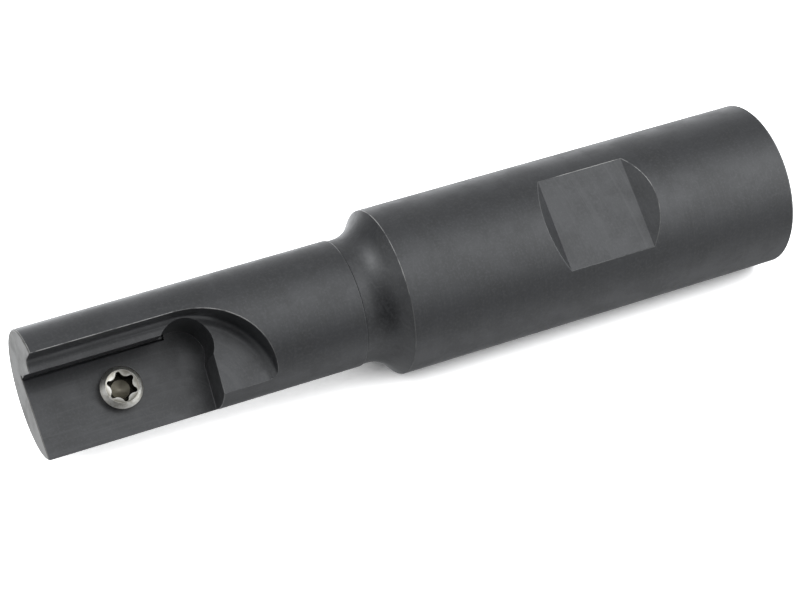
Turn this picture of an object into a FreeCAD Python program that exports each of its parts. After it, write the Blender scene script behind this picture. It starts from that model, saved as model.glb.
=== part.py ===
"""Indexable thread mill: a round shank with one clamping flat, a slimmer neck, and at its tip a
milled seat for one long threading insert. The clamp screw stands in the seat. No insert is fitted.

Frame, in millimetres: Z runs along the tool's axis from the centre of the shank's end to the tip.
The clamping flat and the insert seat both face -Y. The cutting side of the seat is -X.
"""

import FreeCAD
import Part
import math
import os

# Shank, a 20 mm cylinder with one clamping flat
shank_diameter = 20.0
shank_length = 51.0
shank_end_chamfer = 0.3
flat_centre = 25.0
flat_length = 11.1
flat_to_axis = 8.2
flat_wall_angle = 45.0

# Centre hole that the shank was ground on
centre_mouth_diameter = 4.25
centre_pilot_diameter = 2.0
centre_pilot_depth = 4.0
centre_angle = 60.0
drill_point_angle = 118.0

# Neck, and the blend that joins it to the shank
overall_length = 94.0
neck_diameter = 15.3
tip_edge_break = 0.15
blend_radius = 4.0
blend_angle = 50.0
blend_undercut = 0.15
blend_land = 0.85

# Chip gullet: its floor stands this far from the axis, on the -Y side
gullet_floor_to_axis = 3.45
gullet_wall_to_axis = 3.1
gullet_run = 26.9
gullet_cutter_diameter = 20.0
gullet_corner_radius = 1.2

# Insert seat: its floor lies past the axis, on the +Y side
seat_floor_to_axis = 1.9
seat_run = 20.75
seat_end_angle = 4.0
seat_lip_to_axis = 1.66
seat_wall_lean = 11.0
seat_wall_straight = 1.9
corner_relief_diameter = 6.3
corner_relief_past_wall = 0.5
corner_relief_past_end = 0.2

# Clamp screw and its tapped hole, square to the seat's floor
screw_to_axis = 1.93
screw_to_tip = 10.33
thread_diameter = 3.5
thread_clearance = 0.03
screw_length = 6.35
screw_point_chamfer = 0.4
head_diameter = 5.0
head_land = 0.12
head_crown_height = 0.45
head_crown_bulge = 0.05
head_rim_diameter = 3.86
head_cone_angle = 60.0
hole_mouth_diameter = 4.0
hole_mouth_clearance = 0.03

# Six-lobed socket in the screw's head
socket_tip_diameter = 3.55
socket_valley_diameter = 2.55
socket_tip_radius = 0.3
socket_depth = 1.35

shank_radius = shank_diameter / 2
neck_radius = neck_diameter / 2
outside = shank_diameter


def vec(x, y, z):
    return FreeCAD.Vector(x, y, z)


def prism(points, travel):
    """A closed outline of straight edges, pushed along a vector."""
    return Part.Face(Part.makePolygon(points + [points[0]])).extrude(travel)


def turned_blank():
    """Shank, blend and neck as one turned profile. The shank's wall is two faces that meet at the
    flat's centre, so that each has a whole ring at its own middle."""
    start_radius = neck_radius - blend_undercut
    rise = shank_radius - start_radius
    full_turn = math.radians(blend_angle)
    turn = min(full_turn, math.acos(max(0.0, 1 - rise / blend_radius)))
    arc_rise = blend_radius * (1 - math.cos(turn))
    cone_run = (rise - arc_rise) / math.tan(turn)
    arc_end = shank_length + cone_run
    arc_start = arc_end + blend_radius * math.sin(turn)

    def on_arc(angle):
        radius = start_radius + blend_radius * (1 - math.cos(angle))
        return vec(radius, 0, arc_start - blend_radius * math.sin(angle))

    foot = vec(shank_radius - shank_end_chamfer, 0, 0)
    low_corner = vec(shank_radius, 0, shank_end_chamfer)
    grip_middle = vec(shank_radius, 0, flat_centre)
    collar = vec(shank_radius, 0, shank_length)
    groove_end = vec(start_radius, 0, arc_start + blend_land)
    neck_start = vec(neck_radius, 0, arc_start + blend_land + blend_undercut)
    tip_low = vec(neck_radius, 0, overall_length - tip_edge_break)
    tip_high = vec(neck_radius - tip_edge_break, 0, overall_length)
    edges = [
        Part.makeLine(vec(0, 0, 0), foot),
        Part.makeLine(foot, low_corner),
        Part.makeLine(low_corner, grip_middle),
        Part.makeLine(grip_middle, collar),
    ]
    if cone_run > 0.001:
        edges.append(Part.makeLine(collar, on_arc(turn)))
    edges += [
        Part.Arc(on_arc(turn), on_arc(turn / 2), on_arc(0)).toShape(),
        Part.makeLine(on_arc(0), groove_end),
        Part.makeLine(groove_end, neck_start),
        Part.makeLine(neck_start, tip_low),
        Part.makeLine(tip_low, tip_high),
        Part.makeLine(tip_high, vec(0, 0, overall_length)),
        Part.makeLine(vec(0, 0, overall_length), vec(0, 0, 0)),
    ]
    profile = Part.Face(Part.Wire(edges))
    return profile.revolve(vec(0, 0, 0), vec(0, 0, 1), 360)


def centre_hole():
    """The 60 degree centre in the shank's end face."""
    mouth_radius = centre_mouth_diameter / 2
    pilot_radius = centre_pilot_diameter / 2
    half_angle = math.radians(centre_angle / 2)
    cone_depth = (mouth_radius - pilot_radius) / math.tan(half_angle)
    point_depth = pilot_radius / math.tan(math.radians(drill_point_angle / 2))
    profile = [
        vec(0, 0, 0),
        vec(mouth_radius, 0, 0),
        vec(pilot_radius, 0, cone_depth),
        vec(pilot_radius, 0, centre_pilot_depth),
        vec(0, 0, centre_pilot_depth + point_depth),
    ]
    face = Part.Face(Part.makePolygon(profile + [profile[0]]))
    return face.revolve(vec(0, 0, 0), vec(0, 0, 1), 360)


def clamping_flat():
    """The flat across the shank, with sloping end walls."""
    slope = math.tan(math.radians(flat_wall_angle))
    half_floor = flat_length / 2
    half_mouth = half_floor + (outside - flat_to_axis) * slope
    outline = [
        vec(-outside, -flat_to_axis, flat_centre - half_floor),
        vec(-outside, -flat_to_axis, flat_centre + half_floor),
        vec(-outside, -outside, flat_centre + half_mouth),
        vec(-outside, -outside, flat_centre - half_mouth),
    ]
    return prism(outline, vec(2 * outside, 0, 0))


def gullet():
    """The chip gullet, left by one pass of a round-cornered end mill along the neck."""
    cutter_radius = gullet_cutter_diameter / 2
    end = overall_length - gullet_run
    centre_x = gullet_wall_to_axis - cutter_radius
    centre_z = end + cutter_radius
    floor = -gullet_floor_to_axis
    beyond = overall_length + outside
    half = math.sqrt(0.5) * cutter_radius
    wall_top = vec(gullet_wall_to_axis, floor, beyond)
    wall_end = vec(gullet_wall_to_axis, floor, centre_z)
    arc_middle = vec(centre_x + half, floor, centre_z - half)
    arc_end = vec(centre_x, floor, end)
    side = min(-outside, centre_x - outside)
    outline = Part.Wire(
        [
            Part.makeLine(wall_top, wall_end),
            Part.Arc(wall_end, arc_middle, arc_end).toShape(),
            Part.makeLine(arc_end, vec(side, floor, end)),
            Part.makeLine(vec(side, floor, end), vec(side, floor, beyond)),
            Part.makeLine(vec(side, floor, beyond), wall_top),
        ]
    )
    body = Part.Face(outline).extrude(vec(0, floor - outside, 0))
    corners = [edge for edge in body.Edges if is_gullet_corner(edge, floor, side, beyond)]
    return body.makeFillet(gullet_corner_radius, corners)


def is_gullet_corner(edge, floor, side, beyond):
    """True for the floor's edges that the end mill's corner rounds."""
    box = edge.BoundBox
    on_floor = abs(box.YMin - floor) < 0.001 and abs(box.YMax - floor) < 0.001
    on_side = box.XMax < side + 0.001
    past_tip = box.ZMin > beyond - 0.001
    return on_floor and not on_side and not past_tip


def seat_wall_base():
    """X of the seat's back wall where it reaches the floor."""
    lean_height = gullet_floor_to_axis + seat_floor_to_axis - seat_wall_straight
    return seat_lip_to_axis + lean_height * math.tan(math.radians(seat_wall_lean))


def seat_end(x):
    """Z of the seat's end wall, which slopes a little across the neck."""
    return overall_length - seat_run - x * math.tan(math.radians(seat_end_angle))


def corner_relief_centre():
    """Centre of the round corner, past both walls of the seat."""
    radius = corner_relief_diameter / 2
    wall = seat_wall_base()
    x = wall + corner_relief_past_wall - radius
    return vec(x, -outside, seat_end(wall) - corner_relief_past_end + radius)


def insert_seat():
    """The insert's seat: floor, back wall that leans over it, and the end wall."""
    base_x = seat_wall_base()
    section = [
        vec(seat_lip_to_axis, -outside, 0),
        vec(seat_lip_to_axis, -gullet_floor_to_axis, 0),
        vec(base_x, seat_floor_to_axis - seat_wall_straight, 0),
        vec(base_x, seat_floor_to_axis, 0),
        vec(-outside, seat_floor_to_axis, 0),
        vec(-outside, -outside, 0),
    ]
    trough = prism(section, vec(0, 0, overall_length + outside))
    relief = corner_relief_centre()
    side = outside + 1
    beyond = overall_length + side
    plan = [
        vec(relief.x, -side, seat_end(relief.x)),
        vec(-side, -side, seat_end(-side)),
        vec(-side, -side, beyond),
        vec(side, -side, beyond),
        vec(side, -side, relief.z),
        vec(relief.x, -side, relief.z),
    ]
    return trough.common(prism(plan, vec(0, 3 * outside, 0)))


def corner_relief():
    """The end mill's round corner, cut past both walls so that the insert's own corner is free."""
    height = seat_floor_to_axis + outside
    return Part.makeCylinder(
        corner_relief_diameter / 2, height, corner_relief_centre(), vec(0, 1, 0)
    )


def screw_seat():
    """Where the screw's axis meets the seat's floor."""
    return vec(-screw_to_axis, seat_floor_to_axis, overall_length - screw_to_tip)


def tapped_hole():
    """The clamp screw's hole, through the neck, with a chamfered mouth."""
    start = screw_seat()
    radius = thread_diameter / 2 + thread_clearance
    mouth_radius = hole_mouth_diameter / 2
    mouth_depth = (mouth_radius - radius) / math.tan(math.radians(head_cone_angle / 2))
    bore = Part.makeCylinder(radius, outside, start, vec(0, 1, 0))
    mouth = Part.makeCone(mouth_radius, radius, mouth_depth, start, vec(0, 1, 0))
    return bore.fuse(mouth)


def tool_body():
    body = turned_blank().cut(centre_hole())
    body = body.cut(clamping_flat())
    body = body.cut(gullet())
    body = body.cut(insert_seat())
    body = body.cut(corner_relief())
    return body.cut(tapped_hole())


def head_land_height():
    """Height above the seat's floor where the head's cone ends and its land begins."""
    gap = hole_mouth_clearance
    rise = (head_diameter - hole_mouth_diameter) / 2 + gap
    return rise / math.tan(math.radians(head_cone_angle / 2))


def head_top_height():
    return head_land_height() + head_land + head_crown_height


def polar(radius, angle):
    return vec(radius * math.cos(angle), radius * math.sin(angle), 0)


def socket_outline(height):
    """Six rounded tips joined by six wide valleys, each arc tangent to its neighbours."""
    tip_centre = socket_tip_diameter / 2 - socket_tip_radius
    valley = socket_valley_diameter / 2
    half_pitch = math.radians(30)
    along = tip_centre * math.cos(half_pitch)
    across = tip_centre * math.sin(half_pitch)
    gap = along - valley
    valley_radius = (gap**2 + across**2 - socket_tip_radius**2) / (2 * (socket_tip_radius - gap))
    lean = math.atan2(across, valley + valley_radius - along)
    edges = []
    for lobe in range(6):
        middle = 2 * half_pitch * lobe
        valley_middle = middle + half_pitch
        tip = polar(tip_centre, middle)
        next_tip = polar(tip_centre, middle + 2 * half_pitch)
        start = tip + polar(socket_tip_radius, middle - half_pitch - lean)
        outer = polar(socket_tip_diameter / 2, middle)
        end = tip + polar(socket_tip_radius, valley_middle + lean)
        inner = polar(valley, valley_middle)
        next_start = next_tip + polar(socket_tip_radius, valley_middle - lean)
        edges.append(Part.Arc(start, outer, end).toShape())
        edges.append(Part.Arc(end, inner, next_start).toShape())
    wire = Part.Wire(edges)
    wire.translate(vec(0, 0, height))
    return wire


def screw_blank():
    """Point, threaded shank, cone, land and domed head, turned about Z."""
    thread_radius = thread_diameter / 2
    head_radius = head_diameter / 2
    rim_radius = head_rim_diameter / 2
    top = head_top_height()
    point = top - screw_length
    land_low = head_land_height()
    land_high = land_low + head_land
    cone_drop = (head_radius - thread_radius) / math.tan(math.radians(head_cone_angle / 2))
    corners = [
        vec(rim_radius, 0, top),
        vec(0, 0, top),
        vec(0, 0, point),
        vec(thread_radius - screw_point_chamfer, 0, point),
        vec(thread_radius, 0, point + screw_point_chamfer),
        vec(thread_radius, 0, land_low - cone_drop),
        vec(head_radius, 0, land_low),
        vec(head_radius, 0, land_high),
    ]
    crown_middle = vec(
        (head_radius + rim_radius) / 2 + head_crown_bulge,
        0,
        (land_high + top) / 2 + head_crown_bulge,
    )
    crown = Part.Arc(corners[-1], crown_middle, corners[0]).toShape()
    profile = Part.Wire(Part.makePolygon(corners).Edges + [crown])
    return Part.Face(profile).revolve(vec(0, 0, 0), vec(0, 0, 1), 360)


def socket():
    """The lobed recess, with the drill point under it."""
    floor = head_top_height() - socket_depth
    lobes = Part.Face(socket_outline(floor)).extrude(vec(0, 0, socket_depth))
    radius = socket_valley_diameter / 2
    point_depth = radius / math.tan(math.radians(drill_point_angle / 2))
    point = Part.makeCone(0, radius, point_depth, vec(0, 0, floor - point_depth), vec(0, 0, 1))
    return lobes.fuse(point)


def clamp_screw():
    """Built upright, then laid over with its head towards -Y and stood in the seat."""
    screw = screw_blank().cut(socket())
    screw.rotate(vec(0, 0, 0), vec(1, 0, 0), 90)
    screw.translate(screw_seat())
    return screw


def save(shape, name):
    """One closed solid to parts/NAME.step."""
    solid = shape.Solids[0]
    if len(shape.Solids) != 1 or not solid.isValid():
        raise ValueError(f"{name} is not one valid solid")
    solid.exportStep(f"parts/{name}.step")


os.makedirs("parts", exist_ok=True)
save(tool_body(), "tool_body")
save(clamp_screw(), "clamp_screw")
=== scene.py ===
"""Indexable thread mill as it lies in the photograph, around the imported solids.

Metres, in the row's frame: +Z runs along the tool's axis from the shank's end to the tip. The
clamping flat and the insert seat face -Y, and the cutting side of the seat is -X.
"""

import math

import bmesh
import bpy
from mathutils import Matrix, Vector


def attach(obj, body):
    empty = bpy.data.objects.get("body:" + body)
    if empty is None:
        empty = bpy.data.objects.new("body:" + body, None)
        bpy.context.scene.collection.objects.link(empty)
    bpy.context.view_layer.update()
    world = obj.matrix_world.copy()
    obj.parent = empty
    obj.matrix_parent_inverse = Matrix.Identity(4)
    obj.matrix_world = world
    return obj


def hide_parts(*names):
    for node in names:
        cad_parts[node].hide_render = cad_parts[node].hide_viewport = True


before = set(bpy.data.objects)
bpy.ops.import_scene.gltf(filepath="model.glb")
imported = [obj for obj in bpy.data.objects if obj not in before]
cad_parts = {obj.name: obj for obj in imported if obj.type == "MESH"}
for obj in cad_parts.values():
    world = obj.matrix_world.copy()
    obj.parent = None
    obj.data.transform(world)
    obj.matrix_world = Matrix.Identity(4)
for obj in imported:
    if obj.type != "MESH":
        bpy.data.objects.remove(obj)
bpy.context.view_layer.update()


# Camera
# It stands where the photographer stood: in front of the clamping flat and above the shank's end,
# with the tool lying across the picture, tip at the lower left.
photo_width_px = 800
focal_length_px = 2425.69
film_width_mm = 36.0
nearest_seen = 0.01
camera_place = Vector((-0.0524059, -0.2645622, 0.1440007))
picture_right = Vector((-0.339655, -0.259714, -0.903982))
picture_up = Vector((0.923572, -0.273890, -0.268326))

lens = bpy.data.cameras.new("photo_camera")
lens.sensor_width = film_width_mm
lens.lens = focal_length_px * film_width_mm / photo_width_px
lens.clip_start = nearest_seen
camera = bpy.data.objects.new("photo_camera", lens)
camera.matrix_world = Matrix.LocRotScale(
    camera_place,
    Matrix((picture_right, picture_up, picture_right.cross(picture_up))).transposed(),
    None,
)
bpy.context.collection.objects.link(camera)
bpy.context.scene.camera = camera
bpy.context.scene.view_settings.view_transform = "Standard"


# Table
# The pale table the tool lies on. It touches the shank along its length, so here it stands upright
# behind the tool. It only takes the tool's shadow, and from behind it isn't there.
mm = 0.001
shank_radius = 10.0 * mm
table_gap = 0.02 * mm
table_size = 1.2
table_white = (0.9, 0.9, 0.9, 1.0)
table_glow = 1.3
shade_reach = 16.0 * mm
shade_samples = 16
full_shade = 0.10
no_shade = 0.40
table_up = Vector((0.625, -0.775, 0.0)).normalized()
table_far = Vector((0.775, 0.625, 0.0)).normalized()


class Nodes:
    """A node tree, with one call for a node and its inputs."""

    def __init__(self, tree):
        self.tree = tree

    def add(self, kind, inputs=None, **settings):
        node = self.tree.nodes.new(kind)
        for name, value in settings.items():
            setattr(node, name, value)
        for key, value in (inputs or {}).items():
            if isinstance(value, bpy.types.NodeSocket):
                self.tree.links.new(value, node.inputs[key])
            else:
                node.inputs[key].default_value = value
        return node.outputs

    def math(self, operation, a, b=0.0, clamp=False):
        return self.add("ShaderNodeMath", {0: a, 1: b}, operation=operation, use_clamp=clamp)[0]

    def ramp(self, value, low, high, to_low=0.0, to_high=1.0, smooth=True):
        kind = "SMOOTHSTEP" if smooth else "LINEAR"
        inputs = {"Value": value, 1: low, 2: high, 3: to_low, 4: to_high}
        return self.add("ShaderNodeMapRange", inputs, interpolation_type=kind)["Result"]

    def along(self, vector, direction):
        inputs = {0: vector, 1: direction}
        return self.add("ShaderNodeVectorMath", inputs, operation="DOT_PRODUCT")["Value"]

    def shifted(self, vector, location=(0.0, 0.0, 0.0), scale=(1.0, 1.0, 1.0)):
        inputs = {"Vector": vector, "Location": location, "Scale": scale}
        return self.add("ShaderNodeMapping", inputs)[0]

    def length(self, vector):
        return self.add("ShaderNodeVectorMath", {0: vector}, operation="LENGTH")["Value"]

    def noise(self, vector, per_metre, detail=3.0, roughness=0.55):
        inputs = {"Vector": vector, "Scale": per_metre, "Detail": detail, "Roughness": roughness}
        return self.add("ShaderNodeTexNoise", inputs)[0]

    def blend(self, share, first, second):
        inputs = {"Factor": share, 6: first, 7: second}
        return self.add("ShaderNodeMix", inputs, data_type="RGBA")[2]


def empty_nodes(owner):
    """A material's or the world's own node tree, emptied."""
    owner.use_nodes = True
    owner.node_tree.nodes.clear()
    return Nodes(owner.node_tree)


table_material = bpy.data.materials.new("pale_table")
n = empty_nodes(table_material)
camera_ray = n.add("ShaderNodeLightPath")["Is Camera Ray"]
behind = n.add("ShaderNodeNewGeometry")["Backfacing"]
seen = n.math("MULTIPLY", camera_ray, n.math("SUBTRACT", 1.0, behind))
lit = n.add("ShaderNodeBsdfDiffuse", {"Color": table_white})[0]
reach = {"Distance": shade_reach}
open_sky = n.add("ShaderNodeAmbientOcclusion", reach, samples=shade_samples)["AO"]
strength = n.ramp(open_sky, full_shade, no_shade, 0.0, table_glow, smooth=False)
glow = n.add("ShaderNodeEmission", {"Strength": strength})[0]
surface = n.add("ShaderNodeAddShader", {0: lit, 1: glow})[0]
clear = n.add("ShaderNodeBsdfTransparent")[0]
shown = n.add("ShaderNodeMixShader", {0: seen, 1: clear, 2: surface})[0]
n.add("ShaderNodeOutputMaterial", {"Surface": shown})

table_foot = table_up * -(shank_radius + table_gap)
table_half = table_size / 2
corners = [
    table_foot + table_far * (table_half * a) + Vector((0.0, 0.0, table_half * b))
    for a, b in ((-1, -1), (1, -1), (1, 1), (-1, 1))
]
table_mesh = bpy.data.meshes.new("table")
table_mesh.from_pydata([tuple(c) for c in corners], [], [(0, 1, 2, 3)])
table_mesh.materials.append(table_material)
table = bpy.data.objects.new("table", table_mesh)
bpy.context.collection.objects.link(table)
if table_mesh.polygons[0].normal.dot(table_up) < 0:
    table_mesh.flip_normals()


# Light
# The light tent round the table, as the steel sees it: soft windows of translucent cloth, each
# given by its direction and level, narrower ones that the shoulder mirrors, and black cards, whose
# level is negative, that darken the gaps between them.
window_falloff = 10.0
narrow_falloff = 40.0
studio_tint = (0.980, 1.0, 1.022, 1.0)
white = (1.0, 1.0, 1.0, 1.0)
windows = [
    ((-0.21, -0.59, -0.78), 2.27),
    ((0.19, -0.86, -0.47), 1.13),
    ((0.42, 0.74, -0.53), 1.11),
    ((-0.41, 0.11, -0.91), 0.89),
    ((0.64, -0.40, 0.66), 0.81),
    ((0.29, 0.92, 0.28), 0.79),
    ((0.48, 0.25, -0.84), 0.73),
    ((0.40, -0.85, 0.34), 0.66),
    ((0.70, -0.70, -0.16), 0.54),
    ((-0.99, 0.04, -0.09), 0.49),
    ((-0.84, 0.35, 0.41), 0.48),
    ((-0.75, 0.52, -0.41), 0.43),
    ((-0.31, 0.29, 0.91), 0.41),
    ((0.13, -0.21, -0.97), 0.41),
    ((0.96, -0.21, 0.16), 0.40),
    ((-0.21, 0.78, 0.59), 0.40),
    ((0.76, 0.64, -0.03), 0.36),
    ((0.05, -0.53, 0.84), 0.40),
    ((0.93, 0.13, -0.34), 0.31),
    ((0.25, 0.00, 0.97), 0.31),
    ((0.38, 0.50, 0.78), 0.27),
    ((-0.27, 0.64, -0.72), 0.12),
    ((-0.57, 0.81, 0.09), 0.12),
    ((-0.05, 0.97, -0.22), 0.03),
    ((-0.61, -0.74, -0.28), 0.17),
    ((-0.13, -0.99, 0.03), 0.11),
    ((-0.77, -0.24, -0.59), 0.10),
]
narrow_windows = [
    ((0.66, -0.62, 0.43), 2.30),
    ((0.50, 0.86, -0.05), 2.00),
    ((0.09, -0.15, 0.99), 0.30),
    ((0.67, 0.12, 0.73), -0.25),
    ((-0.50, -0.60, 0.62), -0.07),
]

world = bpy.data.worlds.new("studio")
bpy.context.scene.world = world
n = empty_nodes(world)
look = n.add("ShaderNodeTexCoord")["Generated"]
studio_level = 0.0
for group, falloff in ((windows, window_falloff), (narrow_windows, narrow_falloff)):
    for towards, level in group:
        off_centre = n.math("SUBTRACT", n.along(look, towards), 1.0)
        glow = n.math("EXPONENT", n.math("MULTIPLY", off_centre, falloff))
        studio_level = n.math("ADD", studio_level, n.math("MULTIPLY", glow, level))
studio = n.add("ShaderNodeBackground", {"Color": studio_tint, "Strength": studio_level})[0]
backdrop = n.add("ShaderNodeBackground", {"Color": white, "Strength": 1.0})[0]
camera_ray = n.add("ShaderNodeLightPath")["Is Camera Ray"]
sky = n.add("ShaderNodeMixShader", {0: camera_ray, 1: studio, 2: backdrop})[0]
n.add("ShaderNodeOutputWorld", {"Surface": sky})


# Tool body
# Tool steel, turned from bar, milled for the flat, the gullet and the insert seat, then hardened
# and blackened. Every edge has been broken by hand, so it catches a thin line of light.
neck_radius = 7.65 * mm
neck_start = 55.8 * mm
shoulder_end = (55.0 * mm, 56.0 * mm)
flat_end = 31.4 * mm
tip_face = (93.86 * mm, 93.93 * mm)
gullet_end = Vector((-6.9, 0.0, 77.1)) * mm
oxide_ior = 1.8
mark_depth = 0.016 * mm
mottling_scale = 230.0
speckle_scale = 3600.0
scuff_scale = 900.0
turning_scale = 2600.0
milling_scale = 2100.0
oxide_deep = (0.0085, 0.0090, 0.0103, 1.0)
oxide_thin = (0.0195, 0.0203, 0.0228, 1.0)
speckle_grey = (0.041, 0.042, 0.045, 1.0)
scuff_grey = (0.055, 0.055, 0.058, 1.0)
streak_grey = (0.044, 0.045, 0.047, 1.0)
tip_face_dark = (0.120, 0.115, 0.103, 1.0)
tip_face_pale = (0.175, 0.168, 0.155, 1.0)

blackened = bpy.data.materials.new("blackened_steel")
n = empty_nodes(blackened)
place = n.add("ShaderNodeTexCoord")["Object"]
ends = n.along(place, (0.0, 0.0, 1.0))
off_axis = n.length(n.shifted(place, scale=(1.0, 1.0, 0.0)))
shank_wall = n.ramp(off_axis, shank_radius - 0.10 * mm, shank_radius - 0.04 * mm)
neck_wall = n.ramp(off_axis, neck_radius - 0.10 * mm, neck_radius - 0.04 * mm)
on_shank = n.math("MULTIPLY", n.ramp(ends, *shoulder_end, 1.0, 0.0), shank_wall)
on_neck = n.math("MULTIPLY", n.ramp(ends, *shoulder_end), neck_wall)
is_turned = n.math("ADD", on_shank, on_neck, clamp=True)
mottling = n.ramp(n.noise(place, mottling_scale, 6.0, 0.68), 0.38, 0.62)
speckle = n.noise(place, speckle_scale, 2.0, 0.5)
scuffed = n.noise(n.shifted(place, scale=(1.0, 1.0, 0.22)), scuff_scale, 4.0, 0.7)
scuffs = n.ramp(scuffed, 0.60, 0.72)
black = n.blend(mottling, oxide_deep, oxide_thin)
black = n.blend(n.ramp(speckle, 0.45, 0.72, 0.0, 0.55), black, speckle_grey)
black = n.blend(n.math("MULTIPLY", scuffs, 0.30), black, scuff_grey)
gloss = n.math("ADD", n.ramp(mottling, 0.0, 1.0, 0.37, 0.29), n.math("MULTIPLY", speckle, 0.08))
turning = n.noise(n.shifted(place, scale=(0.012, 0.012, 1.0)), turning_scale, 4.0, 0.6)
aside = n.math("SUBTRACT", n.along(place, (1.0, 0.0, 0.0)), gullet_end.x)
past_end = n.math("MINIMUM", n.math("SUBTRACT", ends, gullet_end.z), 0.0)
from_path = n.length(n.add("ShaderNodeCombineXYZ", {"X": aside, "Z": past_end})[0])
depth = n.along(place, (0.0, 1.0, 0.0))
slowly = n.math("MULTIPLY", ends, 0.03)
sweep = n.add("ShaderNodeCombineXYZ", {"X": from_path, "Y": depth, "Z": slowly})[0]
milling = n.noise(sweep, milling_scale, 3.0, 0.6)
marks = n.add("ShaderNodeMix", {"Factor": is_turned, 2: milling, 3: turning})[0]
streaks = n.math("MULTIPLY", n.ramp(marks, 0.50, 0.66), n.ramp(is_turned, 0.0, 1.0, 0.45, 0.15))
black = n.blend(streaks, black, streak_grey)
# The tip face takes a lighter, warmer colour than the blackened rest.
on_tip_face = n.ramp(ends, *tip_face, smooth=False)
tip_face_colour = n.blend(mottling, tip_face_dark, tip_face_pale)
colour = n.blend(on_tip_face, black, tip_face_colour)
relief = n.math("ADD", marks, n.math("MULTIPLY", speckle, 0.5))
worked = n.add("ShaderNodeBump", {"Strength": 0.5, "Distance": mark_depth, "Height": relief})[0]
finish = {"Base Color": colour, "Metallic": 0.0, "Roughness": gloss, "IOR": oxide_ior}
shader = n.add("ShaderNodeBsdfPrincipled", {**finish, "Normal": worked})[0]
n.add("ShaderNodeOutputMaterial", {"Surface": shader})

# The broken edges are paler on the outer skin, partly bare steel rubbed through the oxide and
# partly painted highlight, and paler still on the upper side, where the light falls. They stay
# dark by the flat's end, by the shank's end and along the lower part of the neck's ring. Each
# fades between two lengths.
edge_black = (0.030, 0.031, 0.033, 1.0)
edge_bare_and_highlit = (0.360, 0.355, 0.345, 1.0)
edge_gloss = 0.34
wear_scale = 420.0
outer_skin = (5.0 * mm, 7.3 * mm)
lit_upper_half = (-5.0 * mm, 1.0 * mm)
by_flat_end = (2.0 * mm, 4.0 * mm)
by_shank_end = (0.5 * mm, 1.0 * mm)
by_neck_ring = (1.0 * mm, 2.0 * mm)
ring_crown = (4.0 * mm, 6.0 * mm)

edge_wear_and_highlight = bpy.data.materials.new("edge_wear_and_highlight_steel")
n = empty_nodes(edge_wear_and_highlight)
place = n.add("ShaderNodeTexCoord")["Object"]
off_axis = n.length(n.shifted(place, scale=(1.0, 1.0, 0.0)))
ends = n.along(place, (0.0, 0.0, 1.0))
towards_top = n.along(place, (1.0, 0.0, 0.0))
bare_and_highlit_share = n.ramp(off_axis, *outer_skin, 0.10, 1.0)
# Painted highlight: edges on the upper side, where the light falls, are paler.
lit_upper_side = n.ramp(towards_top, *lit_upper_half, 0.25, 1.0)
from_flat_end = n.math("ABSOLUTE", n.math("SUBTRACT", ends, flat_end))
not_flat_end = n.ramp(from_flat_end, *by_flat_end, 0.2, 1.0)
not_shank_end = n.ramp(ends, *by_shank_end, 0.1, 1.0)
from_neck_ring = n.math("ABSOLUTE", n.math("SUBTRACT", ends, neck_start))
off_ring = n.ramp(from_neck_ring, *by_neck_ring)
ring_top = n.ramp(towards_top, *ring_crown, 0.12, 1.0)
bare_and_highlit_share = n.math("MULTIPLY", bare_and_highlit_share, n.math("MAXIMUM", off_ring, ring_top))
bare_and_highlit_share = n.math("MULTIPLY", bare_and_highlit_share, lit_upper_side)
bare_and_highlit_share = n.math("MULTIPLY", bare_and_highlit_share, n.math("MULTIPLY", not_flat_end, not_shank_end))
# Pale edge colour, part wear and part painted highlight, broken up by noise.
rubbed_and_highlit = n.math("MULTIPLY", n.ramp(n.noise(place, wear_scale, 4.0, 0.65), 0.30, 0.56), bare_and_highlit_share)
colour = n.blend(rubbed_and_highlit, edge_black, edge_bare_and_highlit)
finish = {"Base Color": colour, "Metallic": 0.0, "Roughness": edge_gloss, "IOR": oxide_ior}
shader = n.add("ShaderNodeBsdfPrincipled", finish)[0]
n.add("ShaderNodeOutputMaterial", {"Surface": shader})


def plain_mesh(o):
    """The object's mesh with its modifiers applied and taken off."""
    done = bpy.data.meshes.new_from_object(o.evaluated_get(bpy.context.evaluated_depsgraph_get()))
    o.modifiers.clear()
    o.data = done
    done.name = o.name
    return done


merge_reach = 0.002 * mm
groove_radius = 0.40 * mm
groove_middle = Vector((2.43, 1.62, 86.1)) * mm
groove_length = 18.2 * mm
groove_segments = 40

body = bpy.data.objects.new("mill_body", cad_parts["tool_body"].data.copy())
bpy.context.collection.objects.link(body)
work = bmesh.new()
work.from_mesh(body.data)
bmesh.ops.remove_doubles(work, verts=work.verts, dist=merge_reach)
work.to_mesh(body.data)
work.free()

# The groove at the foot of the seat's back wall leaves room for the insert's edge.
work = bmesh.new()
bmesh.ops.create_cone(
    work, cap_ends=True, segments=groove_segments, radius1=groove_radius, radius2=groove_radius,
    depth=groove_length, matrix=Matrix.Translation(groove_middle),
)
rod_mesh = bpy.data.meshes.new("groove_rod")
work.to_mesh(rod_mesh)
work.free()
rod = bpy.data.objects.new("groove_rod", rod_mesh)
bpy.context.collection.objects.link(rod)
groove = body.modifiers.new("groove", "BOOLEAN")
groove.operation = "DIFFERENCE"
groove.solver = "EXACT"
groove.object = rod
plain_mesh(body)
bpy.data.objects.remove(rod)

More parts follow.
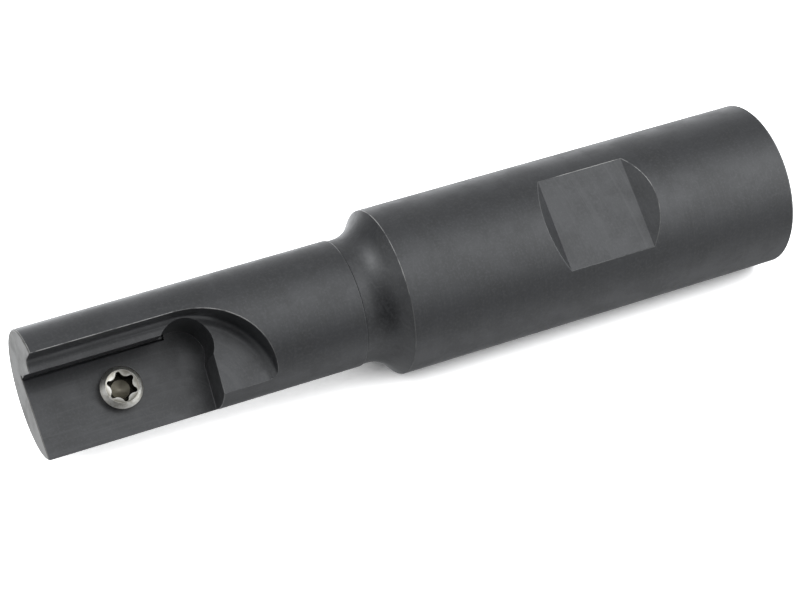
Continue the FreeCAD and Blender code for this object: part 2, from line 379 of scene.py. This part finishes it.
# Each outer edge is broken, by less where there is little room beside it. The groove's edges and
# the tapped hole's exit stay sharp, and the seat's inner corners keep the cutter's small radius.
edge_break = 0.09 * mm
room_share = 0.4
inner_corner = 0.55
sharp_edge = math.radians(24)
right_angle = math.radians(90)
flat_face = math.radians(0.2)
screw_place = Vector((-1.93, 1.9, 83.67)) * mm
hole_exit_reach = 2.2 * mm
hole_exit_depth = 3.0 * mm
seat_inside = neck_radius - 0.2 * mm
seat_low_end = 78.0 * mm
work = bmesh.new()
work.from_mesh(body.data)
bmesh.ops.remove_doubles(work, verts=work.verts, dist=merge_reach)
bmesh.ops.dissolve_limit(work, angle_limit=flat_face, verts=work.verts, edges=work.edges)
crisp = work.edges.layers.float.new("bevel_weight_edge")
for edge in work.edges:
    bend = edge.calc_face_angle_signed()
    edge.smooth = abs(bend) < sharp_edge
    middle = (edge.verts[0].co + edge.verts[1].co) / 2
    by_groove = (middle - groove_middle).xy.length < groove_radius + edge_break
    near_screw = (middle - screw_place).xz.length < hole_exit_reach
    by_hole = near_screw and middle.y > hole_exit_depth
    in_seat = middle.xy.length < seat_inside and middle.z < seat_low_end
    nearby = [other for corner in edge.verts for other in corner.link_edges if other != edge]
    room = room_share * min(other.calc_length() for other in nearby) / edge_break
    edge[crisp] = 0.0
    if bend > sharp_edge and not (by_groove or by_hole):
        edge[crisp] = min(bend / right_angle, room, 1.0)
    elif bend < -sharp_edge and in_seat:
        edge[crisp] = min(inner_corner, room)
for face in work.faces:
    face.smooth = True
work.to_mesh(body.data)
work.free()
rounded = body.modifiers.new("edge_break", "BEVEL")
rounded.limit_method = "WEIGHT"
rounded.width = edge_break
rounded.segments = 2
rounded.harden_normals = True
rounded.use_clamp_overlap = False
# The bevel's faces take the second material: bare worn steel with painted highlight.
rounded.material = 1
body.data.materials.clear()
body.data.materials.append(blackened)
body.data.materials.append(edge_wear_and_highlight)
plain_mesh(body)
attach(body, "body")
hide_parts("tool_body")


# Clamp screw
# A short countersunk screw with a six-lobed socket, bright plated steel. It is turned, its socket
# punched, and its thread rolled; it holds the insert down on the seat.
cone_angle = math.radians(60)
head_radius = 2.5
mouth_radius = 2.03
mouth_gap = 0.06
land_height = 0.12
crown_height = 0.45
land_low = (head_radius - mouth_radius + mouth_gap) / math.tan(cone_angle / 2)
land_high = land_low + land_height
head_top = land_high + crown_height
rim_radius = 1.93
socket_tip = 1.775
socket_valley = 1.275
socket_tip_round = 0.30
socket_depth = 1.35
screw_length = 6.35
thread_radius = 1.75
thread_root = 1.39
thread_pitch = 0.6
point_chamfer = 0.35
shade_sharp = math.radians(28)
tarnish_scale = 1500.0
turned_ring_scale = 9000.0
turned_ring_depth = 0.012 * mm
clean_steel = (0.76, 0.745, 0.70, 1.0)
tarnished_steel = (0.54, 0.52, 0.465, 1.0)
steel_in_painted_shade = (0.400, 0.372, 0.300, 1.0)
socket_painted_shade = (0.030, 0.028, 0.022, 1.0)


def on_polar(radius, angle):
    return Vector((radius * math.cos(angle), radius * math.sin(angle)))


def socket_ring(per_tip=8, per_valley=10):
    """Points round the socket's outline: six rounded tips joined by six wide valleys."""
    half_pitch = math.radians(30)
    centre = socket_tip - socket_tip_round
    along = centre * math.cos(half_pitch)
    across = centre * math.sin(half_pitch)
    gap = along - socket_valley
    wide = (gap**2 + across**2 - socket_tip_round**2) / (2 * (socket_tip_round - gap))
    lean = math.atan2(across, socket_valley + wide - along)
    points = []
    for lobe in range(6):
        middle = 2 * half_pitch * lobe
        valley = middle + half_pitch
        for k in range(per_tip):
            turn = (2 * k / (per_tip - 1) - 1) * (half_pitch + lean)
            points.append(on_polar(centre, middle) + on_polar(socket_tip_round, middle + turn))
        for k in range(1, per_valley + 1):
            turn = (1 - 2 * k / (per_valley + 1)) * lean
            points.append(on_polar(socket_valley + wide, valley) - on_polar(wide, valley + turn))
    return points


outline = socket_ring()
first_point = -3.5
evenly = [math.tau * (k + first_point) / len(outline) for k in range(len(outline))]


def ring(radius, level, painted_shade=0.0):
    """One round row of the turned shape: each point's place and how much painted shade darkens it.
    """
    return [(*on_polar(radius, a), level, painted_shade) for a in evenly]


def socket_row(level, wider=0.0, slope=0.0, painted_shade=1.0):
    """One row that follows the socket's outline, lower towards the axis where it has a slope."""
    row = []
    for p in outline:
        at = p * (1 + wider / p.length)
        row.append((at.x, at.y, level - (rim_radius - at.length) * slope, painted_shade))
    return row


floor_level = head_top - socket_depth
pilot_radius = 1.14
pilot_point = floor_level - 0.68
pad_slope = 0.22
# The last number in each row is painted shade: black on the socket's walls, dark on its floor and
# on the pads' outer edge.
rows = [
    ring(0.25, floor_level - 0.62, 0.6),
    ring(0.70, floor_level - 0.35, 0.6),
    ring(1.08, floor_level - 0.10, 0.62),
    ring(pilot_radius, floor_level - 0.04, 1.0),
    socket_row(floor_level, -0.06),
    socket_row(floor_level + 0.05, -0.01),
    socket_row(head_top - 0.30),
    socket_row(head_top - 0.05, 0.0, pad_slope, painted_shade=0.8),
    socket_row(head_top - 0.025, 0.03, pad_slope, painted_shade=0.0),
    ring(rim_radius - 0.05, head_top - 0.03, 0.42),
    ring(rim_radius - 0.01, head_top),
    ring(rim_radius + 0.02, head_top),
]
crown_start = Vector((rim_radius + 0.03, head_top - 0.03))
crown_end = Vector((head_radius, land_high))
crown_pull = Vector((2.27, head_top - 0.17))
crown_steps = 8
for k in range(1, crown_steps + 1):
    t = k / crown_steps
    p = crown_start * (1 - t) ** 2 + crown_pull * (2 * t * (1 - t)) + crown_end * t**2
    rows.append(ring(p.x, p.y))
neck_level = land_low - (head_radius - thread_root) / math.tan(cone_angle / 2)
point_level = head_top - screw_length
thread_start = point_level + point_chamfer
rows += [
    ring(head_radius, land_low + 0.02),
    ring(head_radius - 0.03, land_low - 0.03),
    ring(thread_root + 0.03, neck_level + 0.05),
    ring(thread_root, neck_level - 0.03),
    ring(thread_root, thread_start),
    ring(thread_root - 0.05, point_level + 0.02),
    ring(thread_root - 0.08, point_level),
    ring(0.4, point_level),
]


def turned(name, rows, bottom, top):
    """A closed turned shape from its rows, standing on Z, closed at both ends."""
    count = len(rows[0])
    points = [(x, y, z) for row in rows for x, y, z, painted_shade in row]
    start, end = len(points), len(points) + 1
    points += [(0.0, 0.0, bottom), (0.0, 0.0, top)]
    faces = []
    for i in range(len(rows) - 1):
        for k in range(count):
            next_k = (k + 1) % count
            low, high = i * count, (i + 1) * count
            faces.append((low + k, high + k, high + next_k, low + next_k))
    last = (len(rows) - 1) * count
    for k in range(count):
        next_k = (k + 1) % count
        faces.append((start, k, next_k))
        faces.append((last + next_k, last + k, end))
    mesh = bpy.data.meshes.new(name)
    mesh.from_pydata(points, [], faces)
    mesh.shade_smooth()
    mesh.set_sharp_from_angle(angle=shade_sharp)
    # Each point's painted shade goes into a point attribute for the material.
    dark = mesh.attributes.new("painted_shade", "FLOAT", "POINT")
    for i, painted_shade in enumerate(painted_shade for row in rows for x, y, z, painted_shade in row):
        dark.data[i].value = painted_shade
    dark.data[start].value = rows[0][0][3]
    return mesh


def laid_in_seat(mesh):
    """From upright and in millimetres to its place: head towards -Y, on the seat's floor."""
    mesh.transform(Matrix.Scale(mm, 4))
    mesh.transform(Matrix.Rotation(math.radians(90), 4, "X"))
    mesh.transform(Matrix.Translation(screw_place))


bright = bpy.data.materials.new("bright_screw_steel")
n = empty_nodes(bright)
place = n.add("ShaderNodeTexCoord")["Object"]
painted_shade = n.add("ShaderNodeAttribute", attribute_name="painted_shade")["Fac"]
from_axis = n.length(n.shifted(place, tuple(-screw_place), (1.0, 0.0, 1.0)))
tarnish = n.ramp(n.noise(place, tarnish_scale, 4.0, 0.6), 0.40, 0.66)
steel = n.blend(tarnish, clean_steel, tarnished_steel)
# Painted shade: the socket's floor and the pads' outer edge darken, and the socket's walls go
# black.
steel = n.blend(n.ramp(painted_shade, 0.0, 0.6), steel, steel_in_painted_shade)
steel = n.blend(n.ramp(painted_shade, 0.72, 1.0), steel, socket_painted_shade)
outwards = n.add("ShaderNodeCombineXYZ", {"X": from_axis})[0]
rings = n.noise(outwards, turned_ring_scale, 3.0, 0.6)
uneven = n.math("ADD", rings, n.math("MULTIPLY", tarnish, 0.6))
bumps = {"Strength": 0.30, "Distance": turned_ring_depth, "Height": uneven}
worked = n.add("ShaderNodeBump", bumps)[0]
gloss = n.ramp(painted_shade, 0.0, 1.0, 0.44, 0.58)
finish = {"Base Color": steel, "Metallic": 1.0, "Roughness": gloss, "Normal": worked}
shader = n.add("ShaderNodeBsdfPrincipled", finish)[0]
n.add("ShaderNodeOutputMaterial", {"Surface": shader})

screw_mesh = turned("clamp_screw_bright", rows, pilot_point, point_level)
screw = bpy.data.objects.new("clamp_screw_bright", screw_mesh)
bpy.context.collection.objects.link(screw)


# Screw thread
# The ridge that winds round the screw, rolled into its steel, and the one it winds through in the
# hole, cut by a tap. Both have one 60 degree form, and each is swept along its helix.
points_per_turn = 48
run_out_turns = 0.5
run_out_size = 0.02
ridge_foot = 0.45
ridge_crest = 0.10
root_overlap = 0.01
male_length = 3.8
hole_radius = 1.79
hole_minor_radius = 1.43
female_length = 3.6


def thread_tree():
    """A trapezium swept along a helix, thinning to nothing over its first and last half turn."""
    tree = bpy.data.node_groups.new("thread_ridge", "GeometryNodeTree")
    face = tree.interface
    face.new_socket("Geometry", in_out="OUTPUT", socket_type="NodeSocketGeometry")
    for name in ("Radius", "Offset", "Length", "Turns", "Inner Width", "Outer Width", "Depth"):
        face.new_socket(name, in_out="INPUT", socket_type="NodeSocketFloat")
    face.new_socket("Steel", in_out="INPUT", socket_type="NodeSocketMaterial")
    add = Nodes(tree).add
    given = add("NodeGroupInput")
    helix = add(
        "GeometryNodeCurveSpiral",
        {
            "Resolution": points_per_turn,
            "Rotations": given["Turns"],
            "Start Radius": given["Radius"],
            "End Radius": given["Radius"],
            "Height": given["Length"],
            "Reverse": True,
        },
    )["Curve"]
    upright = add("GeometryNodeSetCurveNormal", {"Curve": helix}, mode="Z_UP")["Curve"]
    form = add(
        "GeometryNodeCurvePrimitiveQuadrilateral",
        {
            "Height": given["Depth"],
            "Bottom Width": given["Inner Width"],
            "Top Width": given["Outer Width"],
            "Offset": 0.0,
        },
        mode="TRAPEZOID",
    )["Curve"]
    outward = add("ShaderNodeCombineXYZ", {"X": given["Offset"]})[0]
    form = add(
        "GeometryNodeTransform",
        {"Geometry": form, "Rotation": (0.0, 0.0, math.radians(-90)), "Translation": outward},
    )["Geometry"]
    part_way = add("GeometryNodeSplineParameter")["Factor"]
    left = add("ShaderNodeMath", {0: 1.0, 1: part_way}, operation="SUBTRACT")[0]
    nearer = add("ShaderNodeMath", {0: part_way, 1: left}, operation="MINIMUM")[0]
    turns_in = add("ShaderNodeMath", {0: nearer, 1: given["Turns"]}, operation="MULTIPLY")[0]
    thinning = {"Value": turns_in, 1: 0.0, 2: run_out_turns, 3: run_out_size, 4: 1.0}
    growth = add("ShaderNodeMapRange", thinning)["Result"]
    swept = add(
        "GeometryNodeCurveToMesh",
        {"Curve": upright, "Profile Curve": form, "Scale": growth, "Fill Caps": True},
    )["Mesh"]
    real = add("GeometryNodeRealizeInstances", {"Geometry": swept})["Geometry"]
    steel = add("GeometryNodeSetMaterial", {"Geometry": real, "Material": given["Steel"]})
    add("NodeGroupOutput", {0: steel["Geometry"]})
    return tree


thread_form = thread_tree()


def thread_ridge(name, steel, **sizes):
    """The swept ridge as a plain mesh object, upright and in millimetres."""
    o = bpy.data.objects.new(name, bpy.data.meshes.new(name))
    bpy.context.collection.objects.link(o)
    sweep = o.modifiers.new("thread", "NODES")
    sweep.node_group = thread_form
    sockets = {s.name: s.identifier for s in thread_form.interface.items_tree}
    for key, value in sizes.items():
        sweep[sockets[key.replace("_", " ").title()]] = float(value)
    sweep[sockets["Steel"]] = steel
    plain_mesh(o)
    return o


male_depth = thread_radius - thread_root
male = thread_ridge(
    "screw_thread", bright, radius=thread_root - root_overlap, offset=male_depth / 2,
    length=male_length, turns=male_length / thread_pitch, inner_width=ridge_foot,
    outer_width=ridge_crest, depth=male_depth,
)
male.data.transform(Matrix.Translation((0.0, 0.0, thread_start)))
female_depth = hole_radius - hole_minor_radius
female = thread_ridge(
    "tapped_thread", blackened, radius=hole_radius, offset=-female_depth / 2,
    length=female_length, turns=female_length / thread_pitch, inner_width=ridge_crest,
    outer_width=ridge_foot, depth=female_depth,
)
female.data.transform(Matrix.Translation((0.0, 0.0, thread_start + thread_pitch / 2)))
for piece in (screw, male, female):
    laid_in_seat(piece.data)
screw.data.materials.append(bright)
for piece in (screw, male):
    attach(piece, "screw")
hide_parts("clamp_screw")
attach(female, "body")
